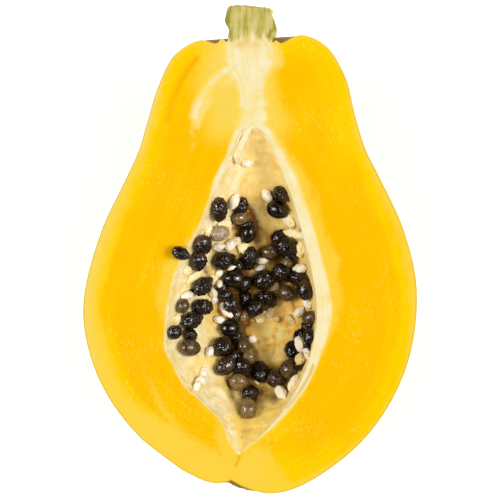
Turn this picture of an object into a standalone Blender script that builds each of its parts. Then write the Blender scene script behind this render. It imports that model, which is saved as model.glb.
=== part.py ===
"""Half of a ripe papaya, cut lengthwise, lying on its back with the cut face up.

+Z is up out of the cut face, +Y points to the stem and +X lies across. The finished half
stands in metres with its origin in the middle of its base. The sizes below are in
millimetres, measured from a point on the cut face, with depth counted down from it.
"""

import math

import bmesh
import bpy
from mathutils import Matrix, Vector
from mathutils.bvhtree import BVHTree

NAME = "papaya_half"
MM = 0.001

KEPT_DEPTH = 55.2      # cut face to the flat spot that the half rests on
SLAB_WIDTH = 140.0     # block that keeps the fruit between cut face and flat spot
SLAB_LENGTH = 200.0
GAP = 0.3              # clearance between touching pieces

# Edge of the cut face as (across, along), from the stem pit to the blossom end.
FRUIT_RIGHT = [
    (0.0, 72.6), (8.1, 72.6), (9.3, 73.1), (10.7, 72.1), (17.9, 75.0), (26.6, 71.2),
    (33.4, 60.3), (36.9, 46.6), (40.6, 34.8), (45.0, 26.0), (53.9, 6.6), (58.5, -15.3),
    (54.5, -42.2), (40.4, -66.0), (18.2, -82.7), (7.0, -85.5), (-1.4, -83.5), (-6.7, -80.8),
]
FRUIT_LEFT = [
    (0.0, 72.6), (-8.2, 72.6), (-9.8, 73.8), (-11.7, 72.0), (-17.5, 73.2), (-26.4, 68.0),
    (-32.1, 57.1), (-36.4, 43.2), (-38.9, 34.8), (-43.9, 23.8), (-52.6, 5.0),
    (-58.5, -22.0), (-52.6, -46.2), (-38.1, -66.3), (-19.2, -80.3), (-11.6, -82.3),
    (-8.4, -81.7), (-6.7, -80.8),
]
# Line down the middle of the back as (across, along, depth), level with the points above.
FRUIT_BACK = [
    (0.0, 72.6, 0.0), (0.0, 72.6, 8.1), (0.0, 73.4, 9.6), (0.0, 72.2, 11.2),
    (-0.2, 74.9, 17.6), (-0.5, 69.8, 26.4), (-0.8, 58.6, 33.0), (-1.3, 44.8, 36.9),
    (-1.7, 34.6, 40.9), (-2.1, 24.8, 45.9), (-2.9, 5.8, 53.9), (-3.8, -15.5, 56.1),
    (-5.0, -42.5, 50.6), (-6.0, -65.5, 37.6), (-6.7, -81.5, 18.0), (-6.8, -84.6, 8.0),
    (-6.8, -83.0, 3.6), (-6.7, -80.8, 0.0),
]
FRUIT_SEGMENTS = 56
FRUIT_RINGS = 62
RIBS = 5               # faint ridges that run from stem to blossom end
RIB_SHARE = 0.012      # height of a ridge as a share of the distance from the core

# Rim of the seed cavity, and its deepest line, from the stem side to the blossom side.
CAVITY_RIGHT = [
    (1.0, 43.0), (4.7, 41.0), (9.5, 31.3), (13.6, 21.5), (17.6, 8.5), (21.7, -7.9),
    (23.5, -23.0), (21.2, -37.0), (16.4, -49.0), (8.4, -60.5), (-3.9, -72.0),
]
CAVITY_LEFT = [
    (1.0, 43.0), (-2.6, 41.0), (-6.8, 32.2), (-12.4, 21.0), (-18.0, 7.5), (-25.6, -7.5),
    (-29.6, -28.0), (-26.0, -42.5), (-18.2, -52.5), (-10.2, -61.8), (-3.9, -72.0),
]
CAVITY_FLOOR = [
    (1.0, 43.0, 0.0), (1.6, 40.6, 2.6), (3.0, 31.6, 8.6), (4.4, 21.4, 13.6),
    (6.0, 8.0, 19.0), (7.4, -8.0, 24.2), (7.4, -24.0, 26.4), (5.4, -38.5, 24.6),
    (1.6, -50.0, 19.0), (-1.8, -61.0, 11.0), (-3.9, -72.0, 0.0),
]
CAVITY_SEGMENTS = 44
CAVITY_RINGS = 40
STEEP_WALL = 3.0       # right wall: the higher, the more upright
GENTLE_WALL = 1.45     # left wall: a slope

# Stub of the stem, cut lengthwise with the fruit, from its torn top to its foot.
STEM_RIGHT = [
    (0.3, 85.0), (5.5, 85.4), (8.1, 84.5), (7.9, 82.0), (8.6, 80.0), (9.5, 76.8),
    (9.1, 74.7), (7.6, 73.0), (0.3, 73.0),
]
STEM_LEFT = [
    (0.3, 85.0), (-5.0, 85.9), (-7.7, 85.2), (-8.4, 82.4), (-8.8, 79.6), (-7.4, 76.8),
    (-7.7, 74.9), (-7.9, 73.0), (0.3, 73.0),
]
STEM_BACK = [
    (0.3, 85.0, 0.0), (0.0, 85.6, 5.2), (0.0, 84.8, 7.9), (0.0, 82.2, 8.1),
    (0.0, 79.8, 8.7), (0.3, 76.8, 8.5), (0.3, 74.8, 8.3), (0.3, 73.0, 7.4),
    (0.3, 73.0, 0.0),
]
STEM_SEGMENTS = 28
STEM_RINGS = 22

# Heap of seeds: a lumpy ring on the cavity floor, round a hollow that lies bare. Its inner
# and outer edges are distances from the hollow's middle, every 30 degrees from +X.
HOLLOW = (8.8, -31.0)
HOLLOW_REACH = [6.6, 7.2, 8.6, 10.0, 9.4, 8.2, 7.6, 8.4, 9.0, 8.2, 8.8, 7.4]
HEAP_REACH = [12.6, 16.4, 25.0, 47.0, 50.0, 41.0, 36.5, 30.0, 28.5, 25.0, 17.5, 13.0]
HEAP_SEGMENTS = 60
HEAP_RING_SEGMENTS = 28
HEAP_THICKNESS = 6.6
HEAP_ROOT = 32.0       # depth of the uncut ring under the cut face, past the floor
SEED_PITCH = 8.0       # distance from one lump to the next
SEED_LUMP = 1.1        # height of a lump
HEAP_ABOVE_CUT = 2.0   # no lump stands higher than this over the cut face
WALL_STEP = 2.5        # the heap's top levels out the wall over this distance

# Single seed that has come to lie on the cut face, at the left rim of the cavity.
RIM_SEED_SIZE = (6.6, 4.8, 4.2)
RIM_SEED_PLACE = (-24.3, -1.4)
RIM_SEED_TURN = -25.0
RIM_SEED_SEGMENTS = 24
RIM_SEED_RINGS = 14

FLESH_COLOUR = (0.99, 0.55, 0.01)
STEM_COLOUR = (0.50, 0.48, 0.16)
SEED_COLOUR = (0.03, 0.02, 0.015)


def curve_point(points, place):
    """Point on a smooth curve through the points; place runs from 0 to 1, span by span."""
    last = len(points) - 1
    span = min(int(place * last), last - 1)
    share = place * last - span
    start = Vector(points[span])
    end = Vector(points[span + 1])
    before = Vector(points[span - 1]) if span > 0 else 2.0 * start - end
    after = Vector(points[span + 2]) if span < last - 1 else 2.0 * end - start
    gaps = [
        math.sqrt(max((b - a).length, 1e-6))
        for a, b in ((before, start), (start, end), (end, after))
    ]
    chord = end - start
    leave = (start - before) / gaps[0] - (end - before) / (gaps[0] + gaps[1]) + chord / gaps[1]
    arrive = chord / gaps[1] - (after - start) / (gaps[1] + gaps[2]) + (after - end) / gaps[2]
    return (
        start
        + leave * gaps[1] * share * (1.0 - share) ** 2
        - arrive * gaps[1] * (1.0 - share) * share ** 2
        + chord * share ** 2 * (3.0 - 2.0 * share)
    )


def even_places(points, count):
    """Places that split a curve into steps of about equal length."""
    lengths = [(Vector(b) - Vector(a)).length for a, b in zip(points, points[1:])]
    total = sum(lengths)
    places = []
    span = 0
    passed = 0.0
    for step in range(count + 1):
        target = total * step / count
        while span < len(lengths) - 1 and passed + lengths[span] < target:
            passed += lengths[span]
            span += 1
        places.append((span + min(1.0, (target - passed) / lengths[span])) / len(lengths))
    return places


def section_point(right, left, back, turn, right_power, left_power):
    """Point at an angle round the section that spans a right, a left and a back point."""
    across = math.cos(turn)
    down = math.sin(turn)
    side, power = (right, right_power) if across >= 0.0 else (left, left_power)
    reach = (abs(across) ** power + abs(down) ** power) ** (1.0 / power)
    sideways = abs(across) / reach
    return Vector((
        back.x + (side.x - back.x) * sideways,
        back.y + (side.y - back.y) * sideways ** 2,
        -back.z * down / reach,
    ))


def profile_solid(right, left, back, segments, rings, right_power=2.0, left_power=2.0):
    """Closed round solid through a right, a left and a back line, mirrored above the cut."""
    places = even_places(right, rings)
    shape = bmesh.new()
    bmesh.ops.create_uvsphere(shape, u_segments=segments, v_segments=rings, radius=1.0)
    for vert in shape.verts:
        ring = round(math.acos(max(-1.0, min(1.0, vert.co.z))) / math.pi * rings)
        turn = math.atan2(vert.co.y, vert.co.x) + math.pi / segments
        vert.co = section_point(
            curve_point(right, places[ring]),
            curve_point(left, places[ring]),
            curve_point(back, places[ring]),
            turn, right_power, left_power,
        )
    return shape


def add_ribs(shape):
    """Raise faint ridges along the back; they fade out at the edge of the cut."""
    for vert in shape.verts:
        middle = Vector((-0.044 * (72.6 - vert.co.y), vert.co.y, 0.0))
        spoke = vert.co - middle
        if spoke.length > 0.0:
            turn = math.atan2(-spoke.z, spoke.x)
            swell = RIB_SHARE * math.sin(turn) ** 2 * math.cos(RIBS * turn)
            vert.co = middle + spoke * (1.0 + swell)


def edge_reach(reaches, turn):
    """Distance from the hollow's middle to one of the heap's edges, at an angle."""
    count = len(reaches)
    place = (turn / (2.0 * math.pi) % 1.0) * count
    first = int(place) % count
    share = place - int(place)
    ease = share * share * (3.0 - 2.0 * share)
    return reaches[first] + (reaches[(first + 1) % count] - reaches[first]) * ease


def wall_height(wall, x, y):
    """Height of the cavity's wall, levelled out over a few places round a point."""
    steps = ((0.0, 0.0), (WALL_STEP, 0.0), (-WALL_STEP, 0.0), (0.0, WALL_STEP), (0.0, -WALL_STEP))
    heights = []
    for step_x, step_y in steps:
        place = Vector((x + step_x, y + step_y, 0.0))
        hit = wall.ray_cast(place, Vector((0.0, 0.0, -1.0)))[0]
        heights.append(hit.z if hit else 0.0)
    return sum(heights) / len(heights)


def seed_lumps(x, y):
    """Relief of close-packed lumps, from three waves that cross at 60 degrees."""
    wave = 0.0
    for direction in range(3):
        angle = math.radians(60.0 * direction + 11.0)
        wave += math.cos(2.0 * math.pi * (x * math.cos(angle) + y * math.sin(angle)) / SEED_PITCH)
    return SEED_LUMP * wave / 3.0


def seed_heap(cavity):
    """Lumpy ring whose top follows the cavity's wall; it goes down past the floor."""
    wall = BVHTree.FromBMesh(cavity)
    shape = bmesh.new()
    bmesh.ops.create_circle(shape, segments=HEAP_RING_SEGMENTS, radius=0.5)
    for vert in shape.verts:
        vert.co = Vector((vert.co.x + 1.0, 0.0, vert.co.y))
    bmesh.ops.spin(
        shape, geom=shape.verts[:] + shape.edges[:], cent=(0, 0, 0), axis=(0, 0, 1),
        angle=2.0 * math.pi, steps=HEAP_SEGMENTS, use_merge=True,
    )
    bmesh.ops.recalc_face_normals(shape, faces=shape.faces)
    for vert in shape.verts:
        turn = math.atan2(vert.co.y, vert.co.x)
        round_ring = math.atan2(vert.co.z, math.hypot(vert.co.x, vert.co.y) - 1.0)
        outward = 1.0 - abs(round_ring) / math.pi
        inner = edge_reach(HOLLOW_REACH, turn)
        reach = inner + (edge_reach(HEAP_REACH, turn) - inner) * outward
        x = HOLLOW[0] + reach * math.cos(turn)
        y = HOLLOW[1] + reach * math.sin(turn)
        edge = math.sin(round_ring)
        if edge > 1e-3:
            height = math.sqrt(edge) * (HEAP_THICKNESS + seed_lumps(x, y))
            z = min(wall_height(wall, x, y) + height, HEAP_ABOVE_CUT)
        else:
            z = -HEAP_ROOT
        vert.co = Vector((x, y, z))
    return shape


def rim_seed():
    """Egg-shaped seed that rests just over the cut face."""
    shape = bmesh.new()
    bmesh.ops.create_uvsphere(
        shape, u_segments=RIM_SEED_SEGMENTS, v_segments=RIM_SEED_RINGS, radius=0.5
    )
    bmesh.ops.scale(shape, vec=RIM_SEED_SIZE, verts=shape.verts)
    turn = Matrix.Rotation(math.radians(RIM_SEED_TURN), 3, "Z")
    bmesh.ops.rotate(shape, matrix=turn, verts=shape.verts)
    height = RIM_SEED_SIZE[2] / 2.0 + GAP
    bmesh.ops.translate(shape, vec=(*RIM_SEED_PLACE, height), verts=shape.verts)
    return shape


def shrunk(shape, distance):
    """Copy of a solid with its surface moved inwards."""
    inner = shape.copy()
    inner.normal_update()
    moved = [(vert, vert.co - vert.normal * distance) for vert in inner.verts]
    for vert, place in moved:
        vert.co = place
    return inner


def principled(name, colour, roughness):
    """Material with one plain colour."""
    material = bpy.data.materials.new(name)
    material.use_nodes = True
    shader = material.node_tree.nodes["Principled BSDF"]
    shader.inputs["Base Color"].default_value = (*colour, 1.0)
    shader.inputs["Roughness"].default_value = roughness
    return material


def add_object(name, shape, collection, parent, material=None):
    """Object in metres from a shape in millimetres."""
    mesh = bpy.data.meshes.new(name)
    bmesh.ops.scale(shape, vec=(MM, MM, MM), verts=shape.verts)
    shape.to_mesh(mesh)
    shape.free()
    thing = bpy.data.objects.new(name, mesh)
    collection.objects.link(thing)
    thing.parent = parent
    if material:
        mesh.materials.append(material)
        mesh.shade_smooth()
        mesh.set_sharp_from_angle(angle=math.radians(40.0))
    else:
        thing.hide_render = True
        thing.display_type = "WIRE"
    return thing


def cut(thing, cutter, operation):
    """Boolean modifier that cuts or keeps the part of a thing inside the cutter."""
    modifier = thing.modifiers.new(cutter.name, "BOOLEAN")
    modifier.operation = operation
    modifier.solver = "EXACT"
    modifier.object = cutter


def slab():
    """Block between the cut face and the flat spot under the back."""
    shape = bmesh.new()
    bmesh.ops.create_cube(shape, size=1.0)
    bmesh.ops.scale(shape, vec=(SLAB_WIDTH, SLAB_LENGTH, KEPT_DEPTH), verts=shape.verts)
    bmesh.ops.translate(shape, vec=(0.0, 0.0, -KEPT_DEPTH / 2.0), verts=shape.verts)
    return shape


def middle_of(shapes):
    """Middle of the box round several shapes, across and along."""
    spots = [vert.co for shape in shapes for vert in shape.verts]
    return [
        (min(spot[axis] for spot in spots) + max(spot[axis] for spot in spots)) / 2.0
        for axis in (0, 1)
    ]


def build():
    for thing in list(bpy.data.objects):
        bpy.data.objects.remove(thing, do_unlink=True)
    parts = bpy.data.collections.new(NAME)
    cutters = bpy.data.collections.new(NAME + "_cutters")
    bpy.context.scene.collection.children.link(parts)
    bpy.context.scene.collection.children.link(cutters)

    fruit = profile_solid(FRUIT_RIGHT, FRUIT_LEFT, FRUIT_BACK, FRUIT_SEGMENTS, FRUIT_RINGS)
    add_ribs(fruit)
    stub = profile_solid(STEM_RIGHT, STEM_LEFT, STEM_BACK, STEM_SEGMENTS, STEM_RINGS)
    hollow = profile_solid(
        CAVITY_RIGHT, CAVITY_LEFT, CAVITY_FLOOR, CAVITY_SEGMENTS, CAVITY_RINGS,
        STEEP_WALL, GENTLE_WALL,
    )
    heap = seed_heap(hollow)
    inner_hollow = shrunk(hollow, GAP)

    across, along = middle_of([fruit, stub])
    base = bpy.data.objects.new(NAME, None)
    base.location = Vector((-across, -along, KEPT_DEPTH)) * MM
    parts.objects.link(base)

    keeper = add_object("keeper", slab(), cutters, base)
    cavity = add_object("cavity", hollow, cutters, base)
    heap_room = add_object("heap_room", inner_hollow, cutters, base)

    flesh = add_object("flesh", fruit, parts, base, principled("flesh", FLESH_COLOUR, 0.45))
    cut(flesh, keeper, "INTERSECT")
    cut(flesh, cavity, "DIFFERENCE")

    stem = add_object("stem", stub, parts, base, principled("stem", STEM_COLOUR, 0.7))
    cut(stem, keeper, "INTERSECT")

    seeds = add_object("seeds", heap, parts, base, principled("seeds", SEED_COLOUR, 0.3))
    cut(seeds, heap_room, "INTERSECT")

    add_object(
        "rim_seed", rim_seed(), parts, base, principled("rim_seed", SEED_COLOUR, 0.3)
    )


build()
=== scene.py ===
"""Looks of the papaya half: its cut flesh, skin, cavity wall, stem stub and loose seeds."""
import math
import random

import bmesh
import bpy
import numpy as np
from mathutils import Matrix, Vector, noise
from mathutils.bvhtree import BVHTree
from mathutils.kdtree import KDTree

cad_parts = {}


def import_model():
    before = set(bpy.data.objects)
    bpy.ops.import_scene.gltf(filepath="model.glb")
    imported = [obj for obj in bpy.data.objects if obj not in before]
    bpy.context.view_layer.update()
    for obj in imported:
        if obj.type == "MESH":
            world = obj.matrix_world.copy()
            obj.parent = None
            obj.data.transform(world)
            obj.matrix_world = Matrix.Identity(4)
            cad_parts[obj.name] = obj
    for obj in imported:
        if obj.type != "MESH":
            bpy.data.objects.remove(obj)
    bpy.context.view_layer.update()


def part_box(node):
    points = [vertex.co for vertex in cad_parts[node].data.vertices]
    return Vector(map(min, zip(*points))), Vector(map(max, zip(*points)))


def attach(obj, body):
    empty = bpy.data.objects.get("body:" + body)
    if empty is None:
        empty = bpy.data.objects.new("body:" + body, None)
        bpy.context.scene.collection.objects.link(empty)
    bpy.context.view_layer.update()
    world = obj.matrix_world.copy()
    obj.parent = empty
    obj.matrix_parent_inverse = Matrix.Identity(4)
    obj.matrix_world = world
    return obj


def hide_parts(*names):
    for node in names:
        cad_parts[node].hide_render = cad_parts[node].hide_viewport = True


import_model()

MM = 0.001
SHARP = math.radians(50)      # edges that turn by more than this are creases

# The profiles below are the part's own, in millimetres: across, along, and depth under
# the cut face. They run from the stem pit to the blossom end.
FRUIT_RIGHT = [
    (0, 72.6), (8.1, 72.6), (9.3, 73.1), (10.7, 72.1), (17.9, 75), (26.6, 71.2), (33.4, 60.3),
    (36.9, 46.6), (40.6, 34.8), (45, 26), (53.9, 6.6), (58.5, -15.3), (54.5, -42.2), (40.4, -66),
    (18.2, -82.7), (7, -85.5), (-1.4, -83.5), (-6.7, -80.8),
]
FRUIT_LEFT = [
    (0, 72.6), (-8.2, 72.6), (-9.8, 73.8), (-11.7, 72), (-17.5, 73.2), (-26.4, 68), (-32.1, 57.1),
    (-36.4, 43.2), (-38.9, 34.8), (-43.9, 23.8), (-52.6, 5), (-58.5, -22), (-52.6, -46.2),
    (-38.1, -66.3), (-19.2, -80.3), (-11.6, -82.3), (-8.4, -81.7), (-6.7, -80.8),
]
FRUIT_BACK = [
    (0, 72.6, 0), (0, 72.6, 8.1), (0, 73.4, 9.6), (0, 72.2, 11.2), (-0.2, 74.9, 17.6),
    (-0.5, 69.8, 26.4), (-0.8, 58.6, 33), (-1.3, 44.8, 36.9), (-1.7, 34.6, 40.9), (-2.1, 24.8, 45.9),
    (-2.9, 5.8, 53.9), (-3.8, -15.5, 56.1), (-5, -42.5, 50.6), (-6, -65.5, 37.6), (-6.7, -81.5, 18),
    (-6.8, -84.6, 8), (-6.8, -83, 3.6), (-6.7, -80.8, 0),
]
CAVITY_RIGHT = [
    (1, 43), (4.7, 41), (9.5, 31.3), (13.6, 21.5), (17.6, 8.5), (21.7, -7.9), (23.5, -23), (21.2, -37),
    (16.4, -49), (8.4, -60.5), (-3.9, -72),
]
CAVITY_LEFT = [
    (1, 43), (-2.6, 41), (-6.8, 32.2), (-12.4, 21), (-18, 7.5), (-25.6, -7.5), (-29.6, -28),
    (-26, -42.5), (-18.2, -52.5), (-10.2, -61.8), (-3.9, -72),
]
CAVITY_FLOOR = [
    (1, 43, 0), (1.6, 40.6, 2.6), (3, 31.6, 8.6), (4.4, 21.4, 13.6), (6, 8, 19), (7.4, -8, 24.2),
    (7.4, -24, 26.4), (5.4, -38.5, 24.6), (1.6, -50, 19), (-1.8, -61, 11), (-3.9, -72, 0),
]
STEM_RIGHT = [
    (0.3, 85), (5.5, 85.4), (8.1, 84.5), (7.9, 82), (8.6, 80), (9.5, 76.8), (9.1, 74.7), (7.8, 72.9),
    (7.4, 71.2), (0.3, 71),
]
STEM_LEFT = [
    (0.3, 85), (-5, 85.9), (-7.7, 85.2), (-8.4, 82.4), (-8.8, 79.6), (-7.4, 76.8), (-7.7, 74.9),
    (-7.9, 72.9), (-7.6, 71.2), (0.3, 71),
]
STEM_BACK = [
    (0.3, 85, 0), (0, 85.6, 5.2), (0, 84.8, 7.9), (0, 82.2, 8.1), (0, 79.8, 8.7), (0.3, 76.8, 8.5),
    (0.3, 74.8, 8.3), (0.3, 72.9, 7.6), (0.3, 71.2, 7), (0.3, 71, 0),
]
# Faint ribs of the skin: how many there are, and how far they stand out.
RIBS = 5
RIB_SHARE = 0.012
# Roundness of the cavity's section: boxy on the right, almost a straight slope on the left.
STEEP_WALL = 3
GENTLE_WALL = 1.3
LIP_DEPTH = 0.35       # how far the cavity's rim lies under the cut face
STUB_BASE = (8.3, 72)  # half width and low end of the part of the cut's edge that meets the stub
FAR_FROM_RIM = 30
# The seed heap: distances of its inner and outer edges from the hollow, every 30 degrees.
HOLLOW = (8.8, -31)
HOLLOW_REACH = [6.6, 7.2, 8.6, 10, 9.4, 8.2, 7.6, 8.4, 9, 8.2, 8.8, 7.4]
HEAP_REACH = [12.6, 16.4, 25, 47, 50, 41, 36.5, 30, 28.5, 25, 17.5, 13]

# Seeds as (across, along, length, width, turn in degrees, kind), the lowest first. They
# lie as in the cut fruit: mostly on the left slope, round the bare hollow and on the right wall.
SEEDS = [
    (-4.6, -6, 5.4, 4.8, 0, "wrinkled"), (-4.8, -23.4, 5.4, 4.6, 60, "brown_wrinkled"),
    (-5.8, -37.6, 5.2, 4.6, 30, "wrinkled"), (-3, 15.5, 6.2, 5.2, 80, "wrinkled"),
    (10, 4.3, 5.6, 5, 60, "wrinkled"), (14, -9.2, 5.6, 5, 30, "wrinkled"),
    (-2, -12.3, 6, 5.6, 40, "wrinkled"), (-9.8, -13.7, 4.5, 4.2, 0, "wrinkled"),
    (-8.4, -16.5, 5.4, 4.6, 60, "wrinkled"), (-1.8, -17.4, 5.4, 4.4, 20, "wrinkled"),
    (-4.8, -31.2, 5.5, 5, 90, "wrinkled"), (-2.2, -34, 6, 5.2, 60, "brown"),
    (0, -38, 7, 5.6, 20, "grey"), (20.4, -35, 4.2, 3.4, 80, "wrinkled"),
    (17.6, -40, 6, 5, 70, "wrinkled"), (20.4, -27, 5.6, 4.8, 60, "wrinkled"),
    (21, -30.7, 5.6, 4.8, 100, "wrinkled"), (-21, -30, 5.4, 4.6, -30, "wrinkled"),
    (17.8, -38.5, 4.6, 4, 40, "tan"), (-9.3, -20, 4.2, 2.8, 75, "cream"),
    (7, -1, 6.8, 5.6, 10, "brown"), (14, -2.5, 5.6, 4.6, -10, "wrinkled"), (13, -5, 5, 4.2, 30, "grey"),
    (11, -8, 7, 6.2, 20, "wrinkled"), (3, -22.6, 5, 3.8, 20, "tan"),
    (-2.2, -23.8, 4.4, 3.4, 70, "grey"), (8.6, -13.2, 4, 3.2, 30, "tan"),
    (9.6, 14, 8, 6.4, -20, "smooth"), (10.7, 19.5, 6.4, 4.8, -35, "wrinkled"),
    (-3.2, 11, 6.8, 4.8, -5, "grey"), (-0.5, 5.6, 7.4, 5.6, 75, "smooth"),
    (-0.9, 8.9, 4.8, 1.8, 25, "wrinkled"), (-10.7, 5.5, 7.4, 5.7, 5, "pale_grey"),
    (-10.7, 13.9, 8.8, 6.2, 95, "wrinkled"), (-5.6, 16.5, 5.4, 3.2, 65, "cream"),
    (12.6, 1, 8, 6.4, -20, "wrinkled"), (17, -10.3, 7.2, 5.6, 0, "wrinkled"),
    (19.4, -14.6, 7, 6.4, 80, "wrinkled"), (-7, 1.5, 5, 3.8, 45, "cream"),
    (-11.2, 0.8, 4.6, 2.8, 0, "cream"), (0, -3.2, 8.8, 5.6, 95, "wrinkled"),
    (-12.6, -18, 3, 2.4, 20, "cream"), (-9.3, -4, 7.8, 6.2, 15, "wrinkled"),
    (-6.8, -6.6, 3.2, 1.8, 20, "cream"), (-16.5, 1.5, 7.5, 6.6, 120, "wrinkled"),
    (-18, -4.3, 7.4, 5.9, 95, "wrinkled"), (5, -11, 8, 7.2, 10, "wrinkled"),
    (4.6, -4, 4, 2.8, 10, "cream"), (3.5, -6.6, 4, 2.4, 15, "cream"),
    (-5.6, -10.5, 8, 6.4, -10, "smooth"), (-11, -8.5, 3.6, 2.4, 65, "cream"),
    (-10.8, -12.2, 3, 2.4, 80, "cream"), (-20.6, -14.6, 4.4, 1.3, 14, "smooth"),
    (-16.6, -13, 7.8, 6, 30, "wrinkled"), (-13, -15.5, 4, 2.8, -50, "cream"),
    (13, -15.7, 7, 6, -5, "brown"), (6.1, -17.8, 8, 5.8, -35, "wrinkled"),
    (-6.6, -19.3, 6.6, 5.8, 50, "wrinkled"), (2, -20.6, 7.2, 6.4, 10, "wrinkled"),
    (-16.6, -20.3, 8, 5.8, -8, "wrinkled"), (-23.6, -20, 5.2, 4.7, 60, "brown"),
    (-22.2, -16.3, 5.2, 3, 10, "cream"), (-20.6, -25, 8.4, 6, 5, "wrinkled"),
    (-26.4, -29, 5.6, 5, 20, "wrinkled"), (-21, -34.6, 8.4, 6.2, -5, "brown"),
    (-7.1, -27.9, 7.6, 6.2, 0, "smooth"), (-8.1, -22.6, 4.8, 2.2, -35, "cream"),
    (-11, -24.8, 4.2, 2.9, -5, "cream"), (-9.9, -34.5, 7.2, 6.8, 60, "wrinkled"),
    (-14.4, -36.4, 3.8, 3, 60, "cream"), (-8.6, -41.3, 8.2, 6.3, 25, "brown_wrinkled"),
    (-2.4, -42.1, 7.4, 6, 115, "wrinkled"), (3.8, -43.4, 8, 6, 80, "wrinkled"),
    (13.6, -42.4, 7, 6.4, 70, "brown"), (9, -45.6, 6.8, 6.2, 90, "brown_wrinkled"),
    (-4.2, -46.9, 6.8, 6.2, -25, "grey"), (0.4, -50.8, 6.4, 5.4, 15, "wrinkled"),
    (-0.7, -56, 7.8, 6.2, 95, "grey"), (20.9, -24, 6, 4.8, 10, "brown"),
    (17.6, -30.5, 5.4, 4.4, 20, "wrinkled"), (14.8, -35.6, 6.8, 5.4, 105, "wrinkled"),
    (17.7, -33.6, 6, 4, 115, "cream"), (20.3, -36.8, 5.2, 2.6, -38, "cream"),
    (20.3, -19.2, 4.6, 2.9, 110, "cream"), (17.3, -22.4, 4.4, 3.2, 30, "cream"),
    (14.2, -25, 4.4, 2.6, -25, "tan"), (9.6, -24.9, 2.6, 2.2, 0, "tan"),
    (0.9, -32, 3.8, 3.3, 20, "cream"), (10.9, -50.4, 6.2, 3.8, -42, "cream"),
    (15.2, -47.2, 6.2, 3.2, 65, "cream"), (-16, -43.7, 4.8, 3.2, 65, "cream"),
    (-17.3, -46.2, 4.6, 3.4, 10, "cream"), (-18.6, -48, 3.6, 2.4, 70, "cream"),
    (17.7, -6.8, 5.4, 3.3, -10, "cream"), (-0.9, 30.3, 4.8, 3, -10, "cream"),
    (6, 19, 5.2, 3.3, -60, "cream"),
]
# Loose tufts and strips of pith as (across, along, length, width, turn in degrees).
TUFTS = [
    (13.7, 10.6, 6.6, 5, -50), (17.7, -0.3, 5.6, 3.4, 80), (-8.8, 8.8, 5.2, 5.6, 70),
    (-14.5, 6, 4, 3, 60), (-22, -7.4, 3.6, 2.8, 20), (-19.6, -9.7, 8, 2.8, 20),
    (-13.2, -11, 4, 3.6, 20), (-2.4, 0.6, 5.2, 4.4, -30), (-5, 2.6, 4, 3, 30), (7.4, -22.2, 5, 3.2, 60),
    (3.6, -24.6, 4, 3.4, -30), (-6.3, -43.9, 3.8, 1, 30), (2.6, -46.6, 3, 2.4, 90),
    (-25.6, -24.6, 3.4, 2.6, 60),
]

# Mesh densities.
RINGS = 300
SKIN_TURNS = 80
WALL_TURNS = 84
CUT_ROWS = 58
CORE_TURNS = 150
CORE_ROWS = 34
RIGHT, LEFT = 0, -1    # a row of points runs from its right end to its left end
WALL_SIDES = [RIGHT if turn < WALL_TURNS / 2 else LEFT for turn in range(WALL_TURNS + 1)]
PALE_KINDS = ("cream", "tan")

flesh_low, flesh_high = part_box("flesh")
CUT_HEIGHT = flesh_high.z


def smooth(low, high, value):
    """0 at low and before it, 1 at high and past it, with a soft step between."""
    share = min(1, max(0, (value - low) / (high - low)))
    return share * share * (3 - 2 * share)


def ripple(x, y, z):
    """Smooth noise at a place, between -1 and 1."""
    return noise.noise(Vector((x, y, z)))


def along_curve(value, stops):
    """Value of a broken line through (place, height) stops, highest place first."""
    for (high, first), (low, second) in zip(stops, stops[1:]):
        if value >= low:
            share = min(1, max(0, (high - value) / (high - low)))
            return first + (second - first) * share
    return stops[-1][1]


def curve_point(points, place):
    """Point on a smooth curve through the points; place runs from 0 to 1, span by span."""
    last = len(points) - 1
    span = min(int(place * last), last - 1)
    share = place * last - span
    start = Vector(points[span])
    end = Vector(points[span + 1])
    before = Vector(points[span - 1]) if span > 0 else 2 * start - end
    after = Vector(points[span + 2]) if span < last - 1 else 2 * end - start
    first, middle, third = [
        math.sqrt(max((b - a).length, 1e-6))
        for a, b in ((before, start), (start, end), (end, after))
    ]
    chord = end - start
    leave = (start - before) / first - (end - before) / (first + middle) + chord / middle
    arrive = chord / middle - (after - start) / (middle + third) + (after - end) / third
    return (
        start
        + leave * middle * share * (1 - share) ** 2
        - arrive * middle * (1 - share) * share ** 2
        + chord * share ** 2 * (3 - 2 * share)
    )


def even_places(points, count):
    """Places that split a curve into steps of about equal length."""
    lengths = [(Vector(b) - Vector(a)).length for a, b in zip(points, points[1:])]
    total = sum(lengths)
    places = []
    span = 0
    passed = 0.0
    for step in range(count + 1):
        target = total * step / count
        while span < len(lengths) - 1 and passed + lengths[span] < target:
            passed += lengths[span]
            span += 1
        places.append((span + min(1, (target - passed) / lengths[span])) / len(lengths))
    return places


def section_point(right, left, back, turn, powers):
    """Point at an angle round the section that spans a right, a left and a back point."""
    across = math.cos(turn)
    down = math.sin(turn)
    side, power = (right, powers[RIGHT]) if across >= 0 else (left, powers[LEFT])
    reach = (abs(across) ** power + abs(down) ** power) ** (1 / power)
    sideways = abs(across) / reach
    return Vector((
        back.x + (side.x - back.x) * sideways,
        back.y + (side.y - back.y) * sideways ** 2,
        -back.z * down / reach,
    ))


def profile_grid(right, left, back, rings, turns, powers=(2, 2)):
    """Rows of points from the right edge of the cut, under the back, to its left edge."""
    grid = []
    for place in even_places(right, rings):
        edges = [curve_point(profile, place) for profile in (right, left, back)]
        grid.append([
            section_point(*edges, math.pi * step / turns, powers) for step in range(turns + 1)
        ])
    return grid


def ends(rows):
    """The right ends of rows, then their left ends."""
    return [row[side] for side in (RIGHT, LEFT) for row in rows]


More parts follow.
